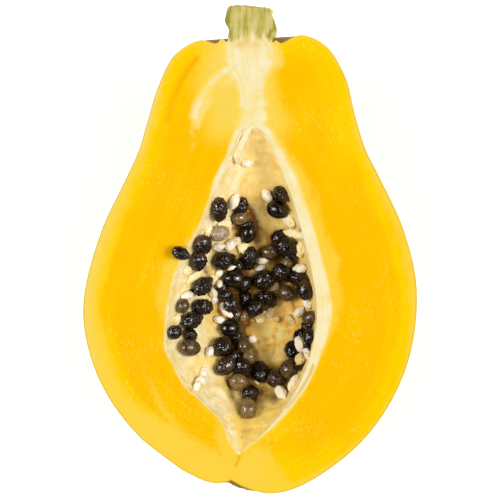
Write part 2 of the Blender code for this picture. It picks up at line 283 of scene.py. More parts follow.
def rib_swell(point):
    """Point of the skin moved out or in by the faint ribs."""
    middle = Vector((-0.044 * (72.6 - point.y), point.y, 0))
    spoke = point - middle
    turn = math.atan2(-spoke.z, spoke.x)
    return middle + spoke * (1 + RIB_SHARE * math.sin(turn) ** 2 * math.cos(RIBS * turn))


def tuck_end(point):
    """Point of the skin, drawn in left of the blossom end, where none shows past the cut."""
    limit = along_curve(point.x, END_LIMIT)
    if point.z < 0 and point.y < limit:
        point.y = limit + 0.25 * (point.y - limit)
    return point


def search_tree(places):
    """Search tree that finds the nearest of a set of places."""
    tree = KDTree(len(places))
    for index, place in enumerate(places):
        tree.insert(place, index)
    tree.balance()
    return tree


def stroke(x, y, path, width, softness):
    """1 on a line through (x, y) points, 0 away from it, with a soft edge."""
    best = 1e9
    for (ax, ay), (bx, by) in zip(path, path[1:]):
        length = (bx - ax) ** 2 + (by - ay) ** 2
        share = max(0, min(1, ((x - ax) * (bx - ax) + (y - ay) * (by - ay)) / length))
        best = min(best, math.hypot(x - ax - share * (bx - ax), y - ay - share * (by - ay)))
    return 1 - smooth(width - softness, width + softness, best)


def strongest(x, y, lines):
    """Greatest share that lines of (share, width, softness, path) have at a place."""
    return max(share * stroke(x, y, path, width, soft) for share, width, soft, path in lines)


def outline_fit():
    """Offset and width share that put the profiles' box on the CAD flesh's box."""
    left_edge, right_edge = (
        [curve_point(profile, place / 400) for place in range(401)]
        for profile in (FRUIT_LEFT, FRUIT_RIGHT)
    )
    left = min(point.x for point in left_edge)
    right = max(point.x for point in right_edge)
    bottom = min(point.y for point in right_edge)
    share = (flesh_high.x - flesh_low.x) / ((right - left) * MM)
    middle = (flesh_low.x + flesh_high.x) / 2
    return Vector((middle - share * (left + right) / 2 * MM, flesh_low.y - bottom * MM)), share


SHIFT, WIDTH_SHARE = outline_fit()


def world(point):
    """Place in metres of a point given in millimetres from the middle of the cut face."""
    return Vector((
        SHIFT.x + point[0] * MM * WIDTH_SHARE,
        SHIFT.y + point[1] * MM,
        CUT_HEIGHT + point[2] * MM,
    ))


class Shell:
    """Points, faces and named values of one mesh in millimetres, while it is put together."""

    def __init__(self, *names):
        self.points = []
        self.faces = []
        self.slots = []
        self.values = {name: [] for name in names}

    def add(self, point, **given):
        """Add a point with its values and return its number."""
        self.points.append(point)
        for name, numbers in self.values.items():
            numbers.append(given.get(name, 0.0))
        return len(self.points) - 1

    def face(self, corners, slot=0):
        """Add a face without repeated corners, if three are left."""
        corners = [corner for n, corner in enumerate(corners) if corner != corners[n - 1]]
        if len(corners) > 2:
            self.faces.append(corners)
            self.slots.append(slot)

    def sheet(self, grid, slot=0):
        """Add the faces between the rows of a grid of point numbers."""
        for here, there in zip(grid, grid[1:]):
            for step in range(len(here) - 1):
                self.face([here[step], there[step], there[step + 1], here[step + 1]], slot)

    def piece(self, name, slot, materials, replaces=None):
        """Smooth object in metres that rides on the fruit."""
        mesh = bpy.data.meshes.new(name)
        mesh.from_pydata([world(point) for point in self.points], [], self.faces)
        for material in materials:
            mesh.materials.append(material)
        mesh.polygons.foreach_set("material_index", self.slots)
        for label, numbers in self.values.items():
            mesh.attributes.new(label, "FLOAT", "POINT").data.foreach_set("value", numbers)
        work = bmesh.new()
        work.from_mesh(mesh)
        bmesh.ops.recalc_face_normals(work, faces=work.faces)
        work.to_mesh(mesh)
        work.free()
        mesh.shade_smooth()
        mesh.set_sharp_from_angle(angle=SHARP)
        piece = bpy.data.objects.new(name, mesh)
        bpy.context.scene.collection.objects.link(piece)
        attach(piece, "root")
        if replaces:
            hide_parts(replaces)
        return piece


# ---------------------------------------------------------------- materials


class Shader:
    """Small helper that adds and links the nodes of one material."""

    def __init__(self, name):
        self.material = bpy.data.materials.new(name)
        self.material.use_nodes = True
        self.tree = self.material.node_tree
        self.surface = self.tree.nodes["Principled BSDF"]
        self.place = self.node("TexCoord", {}).outputs["Object"]

    def plug(self, socket, value):
        if isinstance(value, bpy.types.NodeSocket):
            self.tree.links.new(value, socket)
        else:
            socket.default_value = value

    def node(self, kind, inputs, **settings):
        """New node with its settings, and with its inputs linked or filled in."""
        node = self.tree.nodes.new("ShaderNode" + kind)
        for name, value in settings.items():
            setattr(node, name, value)
        for label, value in inputs.items():
            self.plug(node.inputs[label], value)
        return node

    def attribute(self, name):
        return self.node("Attribute", {}, attribute_name=name).outputs["Fac"]

    def math(self, operation, first, second):
        return self.node("Math", {0: first, 1: second}, operation=operation).outputs[0]

    def weigh(self, *terms, shift=0.0):
        """Sum of sockets, each times its weight."""
        total = shift
        for socket, weight in terms:
            total = self.math("ADD", total, self.math("MULTIPLY", socket, weight))
        return total

    def stretch(self, x, y, z):
        return self.node("Mapping", {"Vector": self.place, "Scale": (x, y, z)}).outputs["Vector"]

    def noise(self, scale, detail=2, roughness=0.5, vector=None):
        return self.node("TexNoise", {
            "Vector": vector or self.place, "Scale": scale, "Detail": detail, "Roughness": roughness,
        }).outputs["Fac"]

    def fibres(self, across, along, detail=3, across_name="fibre_across"):
        """Noise drawn out along the fibres that the mesh's attributes give."""
        place = self.node("CombineXYZ", {
            "X": self.weigh((self.attribute(across_name), across)),
            "Y": self.weigh((self.attribute("fibre_along"), along)),
        })
        return self.noise(1, detail, 0.6, place.outputs[0])

    def ramp(self, value, *stops):
        """Colour at a value, between (value, colour) stops."""
        node = self.node("ValToRGB", {"Fac": value})
        elements = node.color_ramp.elements
        elements.remove(elements[1])
        elements[0].position = stops[0][0]
        elements[0].color = colour(stops[0][1])
        for position, shade in stops[1:]:
            elements.new(position).color = colour(shade)
        return node.outputs["Color"]

    def step(self, value, low, high):
        """0 at low, 1 at high, with a soft step between."""
        limits = {"Value": value, "From Min": low, "From Max": high}
        return self.node("MapRange", limits, interpolation_type="SMOOTHSTEP").outputs["Result"]

    def ragged(self, name, rough, weight):
        """An attribute made uneven by a noise, but only where it isn't 0."""
        share = self.attribute(name)
        uneven = self.weigh((rough, weight), shift=-0.5 * weight)
        return self.math("ADD", share, self.math("MULTIPLY", self.step(share, 0, 0.2), uneven))

    def coat(self, base, *coats):
        """Colour with others laid over it, each given as (share, colour)."""
        for share, shade in coats:
            colours = {"Factor": share, "A": colour(base), "B": colour(shade)}
            base = self.node("Mix", colours, data_type="RGBA").outputs["Result"]
        return base

    def bump(self, height, strength, distance):
        node = self.node("Bump", {"Height": height, "Strength": strength, "Distance": distance})
        self.plug(self.surface.inputs["Normal"], node.outputs["Normal"])

    def finish(self, base, roughness, **values):
        """The material, with its colour, its roughness and other values of its surface."""
        for label, value in {"Base_Color": base, "Roughness": roughness, **values}.items():
            self.plug(self.surface.inputs[label.replace("_", " ")], value)
        return self.material


def colour(shade, light=1.0):
    """Linear colour of a surface that shows an 8-bit display colour under a light."""
    if isinstance(shade, bpy.types.NodeSocket) or len(shade) == 4:
        return shade
    linear = [
        level / 12.92 if level <= 0.04045 else ((level + 0.055) / 1.055) ** 2.4
        for level in (part / 255 for part in shade)
    ]
    return (*(part / light for part in linear), 1.0)


# Light on the cut face and on the stub, against light that shows white as white.
FACE_LIGHT = 1.40
RIBBON_LIGHT = 1.30


def on_face(red, green, blue):
    """Colour that shows as these 8-bit values in the light on the cut face."""
    return colour((red, green, blue), FACE_LIGHT)


YELLOW = on_face(254, 198, 0)
YELLOW_DEEP = on_face(254, 191, 0)
YELLOW_LIGHT = on_face(254, 208, 0)
YELLOW_FLECK = on_face(255, 220, 90)
YELLOW_PALE = on_face(252, 210, 66)
YELLOW_CREAM = on_face(253, 218, 100)
CREAM = on_face(248, 231, 172)
CREAM_WARM = on_face(249, 223, 140)
CREAM_LIGHT = on_face(250, 237, 195)
PALE_CREAM = on_face(247, 216, 110)
ORANGE = on_face(250, 172, 0)
CRACK_AND_GAP_SHADE = on_face(214, 166, 52)
RIND = on_face(214, 186, 20)
STEM_FOOT = (
    (0.38, on_face(236, 206, 124)), (0.48, on_face(243, 217, 146)), (0.58, on_face(248, 228, 172)),
)


def cut_flesh_material():
    s = Shader("cut_flesh")
    broad = s.noise(28, 3, 0.55)
    layers = s.fibres(0.30, 0.025, across_name="layer")
    tone = s.weigh((broad, 0.45), (layers, 0.55), (s.attribute("light"), 0.14))
    flecks = s.noise(1300, 2, 0.6, s.stretch(1, 0.6, 1))
    fleck_share = s.math("MULTIPLY", s.step(flecks, 0.56, 0.72), s.step(s.noise(60), 0.45, 0.62))
    pale = s.weigh((s.attribute("pale"), 1), (broad, 0.5), (flecks, 0.9), shift=-0.7)
    threads = s.weigh((s.fibres(2.2, 0.03), 0.42), (s.noise(150, 3, 0.6), 0.58))
    cream = s.ragged("cream", threads, 1.8)
    foot = s.ragged("foot", threads, 1.3)
    base = s.coat(
        s.ramp(tone, (0.40, YELLOW_DEEP), (0.51, YELLOW), (0.62, YELLOW_LIGHT)),
        (s.weigh((fleck_share, 0.45)), YELLOW_FLECK),
        (s.step(pale, 0.05, 1.10), YELLOW_PALE),
        (s.step(pale, 0.90, 1.80), PALE_CREAM),
        (s.step(cream, 0.02, 0.50), YELLOW_CREAM),
        (
            s.step(cream, 0.42, 0.95),
            s.ramp(threads, (0.36, CREAM_WARM), (0.48, CREAM), (0.60, CREAM_LIGHT)),
        ),
        (s.step(s.attribute("orange"), 0, 1), ORANGE),
        # Golden cracks, and the painted shade of the gap beside the left ribbon.
        (s.attribute("crack"), CRACK_AND_GAP_SHADE),
        (s.step(foot, 0.10, 0.85), s.ramp(threads, *STEM_FOOT)),
        (s.attribute("rind"), RIND),
    )
    grain = s.noise(1500, 2, 0.6)
    s.bump(s.weigh((grain, 0.5), (flecks, 0.7)), 0.25, 0.0002)
    return s.finish(base, s.weigh((grain, 0.25), shift=0.40), Specular_IOR_Level=0.01)


def wall_material(name):
    s = Shader(name)
    soft = s.noise(120, 4, 0.6)
    fibre = s.fibres(0.6, 0.35, 4)
    lumps = s.weigh((soft, 0.5), (s.noise(400), 0.5))
    dark = s.weigh((s.attribute("dark"), 1), (lumps, 1.4), shift=-0.7)
    cream = s.weigh((s.attribute("cream"), 1), (soft, 0.7), shift=-0.35)
    cream_tone = s.ramp(
        s.weigh((fibre, 0.4), (lumps, 0.6)),
        (0.38, (233, 200, 116)), (0.48, (239, 215, 150)), (0.58, (243, 227, 184)),
    )
    base = s.coat(
        s.ramp(soft, (0.30, (229, 190, 97)), (0.52, (237, 207, 129)), (0.74, (246, 218, 142))),
        # Deeper down the wall turns darker golden: partly the pulp's own tone, partly painted shade of
        # the deep cavity.
        (
            s.attribute("deep"),
            s.ramp(lumps, (0.38, (214, 158, 56)), (0.49, (238, 194, 94)), (0.60, (250, 224, 140))),
        ),
        (s.attribute("pale"), (254, 220, 112)),
        # Painted shade, partly a stain: dark brown in the gaps between the seeds and in the painted
        # shade patches.
        (s.step(dark, 0, 0.9), (104, 63, 9)),
        (s.step(cream, 0.2, 0.8), cream_tone),
        (s.weigh((s.step(s.noise(260), 0.64, 0.74), 0.5)), (232, 168, 40)),
    )
    s.bump(lumps, 0.15, 0.0006)
    return s.finish(base, s.weigh((fibre, 0.3), shift=0.35), Specular_IOR_Level=0.15)


def skin_material():
    s = Shader("papaya_skin")
    broad = s.noise(22, 4, 0.6, s.stretch(1, 0.35, 1))
    green = s.step(s.noise(14, 3), 0.52, 0.70)
    spots = s.node("TexVoronoi", {"Vector": s.place, "Scale": 150}).outputs["Distance"]
    base = s.coat(
        s.ramp(broad, (0.28, (196, 146, 14)), (0.50, (214, 162, 18)), (0.74, (222, 178, 34))),
        (s.weigh((green, 0.40)), (150, 142, 34)),
        (s.weigh((s.step(spots, 0.16, 0.05), 0.55)), (150, 96, 30)),
        # Painted shade: darker skin in the pits at the stem and at the blossom end.
        (s.attribute("pit"), s.ramp(broad, (0.30, (146, 98, 8)), (0.70, (182, 136, 24)))),
    )
    fine = s.noise(900, 3, 0.6)
    s.bump(s.weigh((fine, 0.4), (broad, 1)), 0.30, 0.0006)
    return s.finish(base, s.weigh((fine, 0.2), shift=0.42), Specular_IOR_Level=0.03)


# ---------------------------------------------------------------- flesh, skin and wall

# Widths in millimetres along the fruit, as (along, width) from the stem end on, first right
# of the cavity, then left: cream pith by the rim, its soft edge, mottled flesh past it, and
# paler flesh by the skin.
PITH = (
    [
        (43, 1), (36, 1.2), (26, 1.6), (18, 2.8), (5, 3.7), (-4, 3.8), (-17, 4.6), (-23, 4.8),
        (-34, 3.4), (-42, 2.8), (-50, 2.2), (-58, 1.4), (-64, 0.6), (-72, 0.1),
    ],
    [(43, 1.6), (33, 1.3), (25, 1.2), (18, 0.4), (8, 0.3), (-30, 0), (-72, 0.2)],
)
FADE = (
    [(43, 3.6), (26, 4.4), (18, 3.2), (5, 1.8), (-34, 1.2), (-72, 0.7)],
    [(43, 2.4), (30, 1.2), (8, 0.9), (-4, 1.3), (-20, 1.2), (-30, 0.7), (-72, 0.7)],
)
MOTTLE = (
    [
        (43, 5.5), (26, 8), (18, 9), (5, 9), (-4, 10.5), (-17, 10), (-25, 8), (-35, 5), (-50, 3.4),
        (-72, 2),
    ],
    [
        (43, 3), (20, 1), (8, 1.5), (0, 5), (-10, 6.5), (-18, 5), (-26, 2), (-52, 1.2), (-60, 3),
        (-72, 6),
    ],
)
EDGE = (
    [
        (75, 0.2), (60, 0.6), (45, 1.4), (30, 2), (18, 3), (5, 3.8), (-5, 4.4), (-15, 3.4), (-25, 2),
        (-40, 0.8), (-55, 0.6), (-75, 1.4), (-86, 3),
    ],
    [
        (75, 0.6), (66, 1.6), (57, 2.2), (45, 2.8), (35, 2.8), (24, 3.8), (15, 5.8), (5, 6.3),
        (-10, 6.3), (-25, 7.3), (-40, 7.8), (-86, 7),
    ],
)
# The fan of cream pith over the cavity, and how far the haze of paler yellow round it reaches.
FAN_LEFT = [(73, -8.6), (69, -8.4), (66, -8.2), (63, -7), (60, -5), (55, -3), (49, -3.1), (44, -4.2)]
FAN_RIGHT = [(73, 7.2), (69, 7.6), (66, 7.6), (63, 7), (60, 5.4), (55, 4.2), (49, 4.2), (44, 4.8)]
HAZE = (
    [(75, 12), (58, 12.5), (52, 14), (46, 18), (31, 19)],
    [(75, 21), (68, 23), (58, 27), (46, 22), (31, 21)],
)
# Lower left, where the flesh is pale all the way: its upper edge, from right to left.
PALE_END = [
    (60, -110), (24, -88), (14, -80), (9, -72.5), (7, -68.5), (2, -67), (-4.8, -71.8), (-8.6, -70.5),
    (-15, -67.6), (-20, -65), (-26, -61), (-32.3, -57.4), (-38.3, -53.8), (-43.4, -50), (-47.6, -39.8),
    (-51.4, -24), (-60, -10),
]
# How far the skin reaches past the cut at the blossom end, from right to left.
END_LIMIT = [
    (0, -90), (-1.4, -84.3), (-4, -83.7), (-6, -82.5), (-7.6, -81.3), (-9, -81.4), (-11.6, -81.9),
    (-16, -81), (-24, -77), (-60, -50),
]
# Bends of the cavity's left rim beside its smooth profile, and the cream band on its wall.
RIM_BENDS = [
    (-26, 0), (-31, -0.6), (-35.6, -1.2), (-38, -0.6), (-40, 0.2), (-45, -0.2), (-49, -0.9), (-53, 0.5),
    (-58.5, 1.3), (-62, 0.7), (-67.4, -0.7), (-72, 0),
]
LEFT_WALL_CREAM = [
    (43, 2.5), (30, 6), (20, 9), (0, 11), (-10, 12), (-25, 15), (-40, 14), (-46, 12.5), (-50, 10.5),
    (-54, 7.5), (-60, 4.2), (-66, 2.8), (-72, 1),
]

# Soft lines as (share, width, softness, path).
VEINS = [
    (1.10, 1.3, 2.3, [(-5, 65.2), (-9.6, 61.8), (-13.2, 58.8), (-15.6, 55.6), (-17.2, 52.6)]),
    (0.98, 1.1, 2.2, [(-14.8, 56.6), (-17.6, 52.2), (-19.4, 46.4)]),
    (0.66, 0.9, 1.8, [(-12.6, 58), (-14.2, 53.6), (-16.6, 48.6), (-18.8, 43.6)]),
    (0.38, 0.8, 2.2, [(-19.4, 46), (-20.6, 41), (-20.4, 35)]),
    (0.55, 1.2, 2.4, [(-3, 60), (-8, 58.8), (-13, 57.8)]),
    (0.42, 0.6, 2.6, [(-5, 67), (-9, 66.8), (-14, 63.6)]),
    (0.46, 0.8, 2.4, [(-3, 70.6), (-9, 69.6), (-13, 67.6)]),
]
ORANGE_STREAKS_AND_SEED_SHADOW = [
    (0.95, 0.7, 1.6, [(-18.6, 67), (-21.6, 63), (-23.6, 60), (-26, 54.5)]),
    (0.70, 0.8, 1.8, [(-25, 57), (-27.6, 51), (-28.8, 45)]),
    # Painted shadow of the seed on the rim, in orange on the cut face.
    (0.90, 0.8, 2.6, [(-29.6, -1.8), (-27.6, 0.8), (-24, 2.2)]),
    (0.75, 0.5, 0.9, [(-3.9, -72.2), (-4, -73.6), (-5, -75.8)]),
]
GOLDEN_CRACKS_AND_GAP_SHADE = [
    (1.0, 0.3, 0.6, [(22.2, -40.4), (21.2, -43.4), (19.4, -46.6), (17.2, -50.2)]),
    (0.7, 0.3, 0.6, [(17.2, -50.2), (15.4, -52.6), (13, -55.4)]),
    # Painted shade of the gap between the left ribbon and the cavity's rim.
    (0.9, 0.1, 0.55, [(-2.4, 41.8), (-3.5, 39.8), (-4.6, 37.6), (-5.8, 35), (-6.8, 33)]),
    (0.3, 0.2, 0.5, [(-3.8, -72.4), (-4, -73.6), (-5, -75.8)]),
]
PALE_STREAK = [
    (1.0, 0.8, 2.4, [(-39, -36), (-35.7, -45.3), (-33, -50), (-31.8, -54), (-29, -58), (-26, -62),
                     (-21.5, -66)]),
]
# Painted shade: brown patches where shadow falls beside and between the seeds on the wall.
PAINTED_SHADE_PATCHES = [
    (0.6, 2.4, 4.4, [(4, -51.5), (8.5, -52), (12, -48)]),
    (0.65, 1.2, 3.2, [(-7.6, -47.5), (-6.4, -51.6)]),
    (0.85, 1.0, 2.8, [(0.5, 14), (1.8, 9), (2.8, 5.5), (2.6, 1.5)]),
    (0.9, 1.4, 3.0, [(-3.4, -25.4), (-1.2, -26.8)]),
    (0.5, 1.4, 3.4, [(0, -26.6), (3, -27.6)]),
    (0.9, 0.9, 2.0, [(-4.7, 9.6), (-4.9, 3.4)]),
    (0.9, 1.0, 2.2, [(-12.6, -1.2), (-12, -3.4)]),
    (0.6, 0.8, 2.2, [(15.4, -18.6), (15.9, -21)]),
    (0.9, 0.9, 2.2, [(-15.4, -10.2), (-16.2, -6)]),
    (0.45, 0.6, 2.0, [(22.4, -24), (22.6, -29)]),
    (0.75, 1.0, 2.4, [(-22.4, -4.6), (-23, -10)]),
]
TAN_BREAK = [(0.75, 1.6, 2.8, [(-16, -38.5), (-19.8, -41), (-19, -46)])]


def cream_on_cut(x, y, rim_gap, side):
    """Share of cream pith at a point of the cut face."""
    width = along_curve(y, PITH[side])
    band = 1 - smooth(width - 0.5, width + along_curve(y, FADE[side]), rim_gap)
    bent = x + 2 * ripple(x * 0.22, y * 0.20, 5)
    spread = 2.4 * smooth(59, 65, y)
    fan = min(
        1 - smooth(-1.6 - spread, 2.8 + spread, along_curve(y, FAN_LEFT) - bent),
        1 - smooth(-1.6 - spread, 4 + spread, bent - along_curve(y, FAN_RIGHT)),
        smooth(37, 45, y),
        1 - 0.5 * smooth(71, 73.5, y) - 0.5 * smooth(65, 71, y) * smooth(4, 8, abs(x)),
    )
    return min(1, max(band, fan, strongest(x, y, VEINS)))


def pale_on_cut(x, y, rim_gap, edge_gap, side):
    """Share of paler yellow at a point of the cut face; over 1 it turns to cream."""
    ragged = 1.3 * ripple(x * 0.35, y * 0.16, 3)
    width = along_curve(y, EDGE[side])
    edge = 0.95 * (1 - smooth(0.35 * width - 0.8, width + 1.8, edge_gap + ragged))
    if side == LEFT:
        edge += 0.5 * (1 - smooth(0, 0.7 * width, edge_gap)) * smooth(-50, -30, y)
        edge *= 1 + 0.35 * smooth(28, 36, y) * smooth(66, 58, y)
    mottle = along_curve(y, MOTTLE[side])
    near_rim = 0.85 * (1 - smooth(mottle - 3, mottle + 1.5, rim_gap + 1.5 * ragged))
    near_rim *= 1 - smooth(44, 50, y)
    soft = 1 + 2.5 * smooth(-42, -50, x)
    low = smooth(-2 * soft, 4.5 * soft, along_curve(x, PALE_END) - y + soft * ragged)
    low *= 0.95 - 0.35 * smooth(0, 12, x)
    streak = strongest(x, y, PALE_STREAK) * (0.5 + 0.5 * smooth(-42, -56, y))
    reach = along_curve(y, HAZE[RIGHT if x > 0 else LEFT])
    haze = 1.25 * smooth(31, 45, y) * (1 - smooth(0.45 * reach, reach, abs(x)))
    return min(1.6, max(edge, near_rim, low, streak, haze))


def foot_on_cut(x, y):
    """Share of the stem's peach-coloured foot at a point of the cut face."""
    uneven = 1.6 * ripple(x * 0.35, y * 0.35, 8)
    return smooth(67.6, 73.4, y + uneven) * (1 - smooth(5.4, 10, abs(x) + uneven))


def cut_values(x, y, rim_gap, edge_gap, side):
    """Values of a point of the cut face, from its gaps to the cavity's rim and to the skin."""
    upper = smooth(38, 50, y)
    fan_left, fan_right = along_curve(y, FAN_LEFT), along_curve(y, FAN_RIGHT)
    share = (2 * x - fan_left - fan_right) / (fan_right - fan_left)
    spread = 1.6 * max(-1.5, min(1.5, share))
    return {
        "cream": cream_on_cut(x, y, rim_gap, side),
        "pale": pale_on_cut(x, y, rim_gap, edge_gap, side),
        "light": 1 - 1.6 * smooth(2, 13, edge_gap) + 0.5 * ripple(x * 0.12, y * 0.04, 9),
        "layer": edge_gap,
        "orange": strongest(x, y, ORANGE_STREAKS_AND_SEED_SHADOW),
        "crack": strongest(x, y, GOLDEN_CRACKS_AND_GAP_SHADE),
        "foot": foot_on_cut(x, y),
        "rind": (1 - smooth(0.1, 0.5, edge_gap)) * (1 - smooth(66, 71, y)),
        "fibre_across": rim_gap + (spread - rim_gap) * upper,
        "fibre_along": y * (1 - 0.4 * upper),
    }


def painted_seed_shade(x, y):
    """Share of brown on the pulp round the seeds: painted shade in the gaps between them, partly a
    stain.
    """
    shade = sum(
        math.exp(-((x - across) ** 2 + (y - along) ** 2) / 12)
        for across, along, _, _, _, kind in SEEDS if kind not in PALE_KINDS
    )
    return smooth(0.2, 1.1, shade) * smooth(-17, -6, x) * (1 - 0.6 * smooth(10, 15, x))


def wall_values_at(point, rim, side):
    """Values of a point of the cavity's wall that hangs under a point of its rim."""
    gap = math.hypot(point.x - rim.x, point.y - rim.y)
    drop = (point - rim).length
    width = along_curve(point.y, LEFT_WALL_CREAM) if side == LEFT else 0.4
    # brown is the painted shade of the patches; it takes away cream and darkens the wall.
    brown = strongest(point.x, point.y, PAINTED_SHADE_PATCHES)
    cream = 1 - smooth(width * 0.6, width * 1.25 + 0.6, gap)
    cream -= max(strongest(point.x, point.y, TAN_BREAK), 0.9 * brown)
    dark = max(painted_seed_shade(point.x, point.y), brown)
    return {
        "cream": cream,
        "deep": smooth(11, 23, -point.z),
        "pale": 0.8 * smooth(-53, -60, point.y),
        "dark": dark * (1 - 0.75 * cream) * smooth(0, 5, drop),
        "fibre_across": drop,
    }


def wall_relief(point):
    """Height of the wall's fibres and tufts over its smooth form."""
    broad = noise.noise(point * 0.30) * 0.45
    broad += noise.noise(point * 0.8) * 0.35 * smooth(10, 20, -point.z)
    ridge = noise.noise(point * 0.55 + Vector((7, 3, 1)))
    fine = 0.12 * noise.noise(point * 1.5)
    return broad + 0.05 * (1 - 9 * ridge * ridge + fine)


def crease_depth(point):
    """Depth of the soft crease where the broad left slope of pith meets the lower floor."""
    middle = -5.6 - 0.26 * (point.y + 57)
    ledge = smooth(middle - 1.4, middle + 1, point.x)
    ledge *= 1 - smooth(middle + 2, middle + 8, point.x)
    return 1.3 * ledge * smooth(-40, -46, point.y) * smooth(-70, -62, point.y)


def pit_painted_shade(point):
    """Share of painted shade on the skin in the pits at the stem and at the blossom end."""
    if point.y > 66:
        return 1 - smooth(20, 27, math.hypot(point.x, point.z))
    if point.y < -70:
        return 1 - smooth(5, 13, math.hypot(point.x + 6.7, point.z))
    return 0.0


def wall_rows():
    """Rows of smooth points of the cavity's wall, with the bends of its left rim."""
    rows = profile_grid(
        CAVITY_RIGHT, CAVITY_LEFT, CAVITY_FLOOR, RINGS, WALL_TURNS, (STEEP_WALL, GENTLE_WALL)
    )
    for row in rows:
        bend = along_curve(row[LEFT].y, RIM_BENDS)
        for turn, point in enumerate(row):
            point.x += bend * smooth(0.55, 1, turn / WALL_TURNS)
    return rows


def add_wall(shell, wall):
    """Add the cavity's wall, row by row, with a relief that fades out at the rim."""
    ids = [[shell.add(wall[0][0], cream=1.0)] * (WALL_TURNS + 1)]
    for ring in range(1, RINGS):
        row = wall[ring]
        moved = []
        for turn, (point, side) in enumerate(zip(row, WALL_SIDES)):
            along = wall[ring + 1][turn] - wall[ring - 1][turn]
            round_wall = row[min(turn + 1, WALL_TURNS)] - row[max(turn - 1, 0)]
            normal = along.cross(round_wall)
            normal = normal.normalized() if normal.length > 0 else Vector((0, 0, 1))
            if normal.z < 0:
                normal = -normal
            fade = smooth(0, 3 if side == LEFT else 6, (point - row[side]).length)
            place = point + normal * wall_relief(point) * fade
            place.z = min(place.z - crease_depth(point) * fade, -LIP_DEPTH)
            moved.append(place)
        ids.append([
            shell.add(place, **wall_values_at(point, row[side], side), fibre_along=ring * 0.4)
            for place, point, side in zip(moved, row, WALL_SIDES)
        ])
        wall[ring] = moved
    ids.append([shell.add(wall[RINGS][0], cream=1.0)] * (WALL_TURNS + 1))
    return ids


def gaps_to(places, points):
    """Distances from points to the nearest of a set of places, one by one."""
    tree = search_tree(places)
    return (tree.find(point)[2] for point in points)


def add_cut(shell, skin, wall, rim, skin_ids, wall_ids):
    """Add the cut face in columns that run from the cavity's rim out to the skin."""
    around = [(ring, RIGHT) for ring in range(RINGS + 1)]
    around += [(ring, LEFT) for ring in range(RINGS - 1, 0, -1)]
    even = [row / CUT_ROWS for row in range(1, CUT_ROWS)]
    shares = [0.5 * share + 0.25 * (1 - math.cos(math.pi * share)) for share in even]
    lines = [
        [wall[ring][side].lerp(skin[ring][side], share) for share in shares]
        for ring, side in around
    ]
    inner = [point for line in lines for point in line]
    gaps = zip(gaps_to(rim, inner), gaps_to(ends(skin), inner))
    columns = []
    for (ring, side), line in zip(around, lines):
        column = [wall_ids[ring][side]]
        for point in line:
            rim_gap, edge_gap = next(gaps)
            lip = 0.25 * (1 - smooth(0, 1.2, rim_gap))
            swell = 0.07 * noise.noise(point * 0.16) + 0.02 * noise.noise(point * 0.8)
            height = -0.1 + swell * smooth(0, 2, edge_gap) - lip
            values = cut_values(point.x, point.y, rim_gap, edge_gap, side)
            column.append(shell.add(Vector((point.x, point.y, height)), **values))
        end = skin_ids[ring][side]
        corner = shell.points[end]
        for name, number in cut_values(corner.x, corner.y, FAR_FROM_RIM, 0, side).items():
            shell.values[name][end] = number
        columns.append(column + [end])
    return columns


def build_flesh():
    """One closed mesh of skin, cut face and cavity wall; returns the piece and the wall's rows."""
    shell = Shell("cream", "pale", "light", "orange", "crack", "foot", "rind", "deep", "dark",
                  "pit", "layer", "fibre_across", "fibre_along")
    skin = [
        [tuck_end(rib_swell(point)) for point in row]
        for row in profile_grid(FRUIT_RIGHT, FRUIT_LEFT, FRUIT_BACK, RINGS, SKIN_TURNS)
    ]
    skin_ids = [
        [shell.add(row[0])] * len(row) if ring in (0, RINGS)
        else [shell.add(point, pit=pit_painted_shade(point)) for point in row]
        for ring, row in enumerate(skin)
    ]
    wall = wall_rows()
    rim = ends(wall)
    wall_ids = add_wall(shell, wall)
    columns = add_cut(shell, skin, wall, rim, skin_ids, wall_ids)
    for slot, grid in enumerate((skin_ids, columns + columns[:1], wall_ids)):
        shell.sheet(grid, slot)
    lowest = CUT_HEIGHT / MM
    shell.points = [Vector((p.x, p.y, max(p.z, -lowest))) for p in shell.points]
    for index in ends(skin_ids):
        point = shell.points[index]
        if abs(point.x) < STUB_BASE[0] and point.y > STUB_BASE[1]:
            point.z = -0.1
    for index in ends(wall_ids):
        shell.points[index].z = -LIP_DEPTH
        shell.values["cream"][index] = 1.0
    materials = [skin_material(), cut_flesh_material(), wall_material("cavity_wall")]
    return shell.piece("papaya_flesh", "flesh", materials, "flesh"), wall


flesh, wall_grid = build_flesh()

# ---------------------------------------------------------------- stem stub and ribbons

STEM_TOP = (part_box("stem")[1].y - SHIFT.y) / MM - 0.02
# Green on the stub's cut: down its left edge, low on the right, in faint streaks.
GREEN_STREAKS = [
    (1.0, 0.9, 2.0, [(-7.4, 84), (-8.4, 80.5), (-7.4, 77.4), (-7.2, 75)]),
    (1.0, 0.9, 1.7, [(8.4, 80.4), (8.2, 77.2), (6.2, 74.6)]),
    (0.60, 0.5, 1.4, [(6, 84), (8, 81), (8, 79)]),
    (0.55, 0.3, 1.4, [(-1, 84.6), (-1.6, 80), (-1, 77)]),
    (0.45, 0.2, 1.0, [(1.8, 84), (1, 79.6)]),
]
# Ribbons as (half width, path): one over the cavity's left rim and two off its right rim.
RIBBONS = [
    (1.25, [(0.1, 43.4, -0.8), (-1, 41.2, -0.5), (-2.2, 38.4, -0.6), (-3.6, 35.6, -0.6),
            (-4.5, 33.2, -0.8), (-4.4, 31.4, -1.3), (-3.6, 29.6, -2.4)]),
    (1.35, [(19.8, 4.6, -1.2), (17.4, 5, -2.2), (14.6, 5.6, -3.8), (11.6, 6.4, -6)]),
    (1.0, [(22.4, -40, -1), (20.8, -38.2, -2), (19, -36, -3.4)]),
]


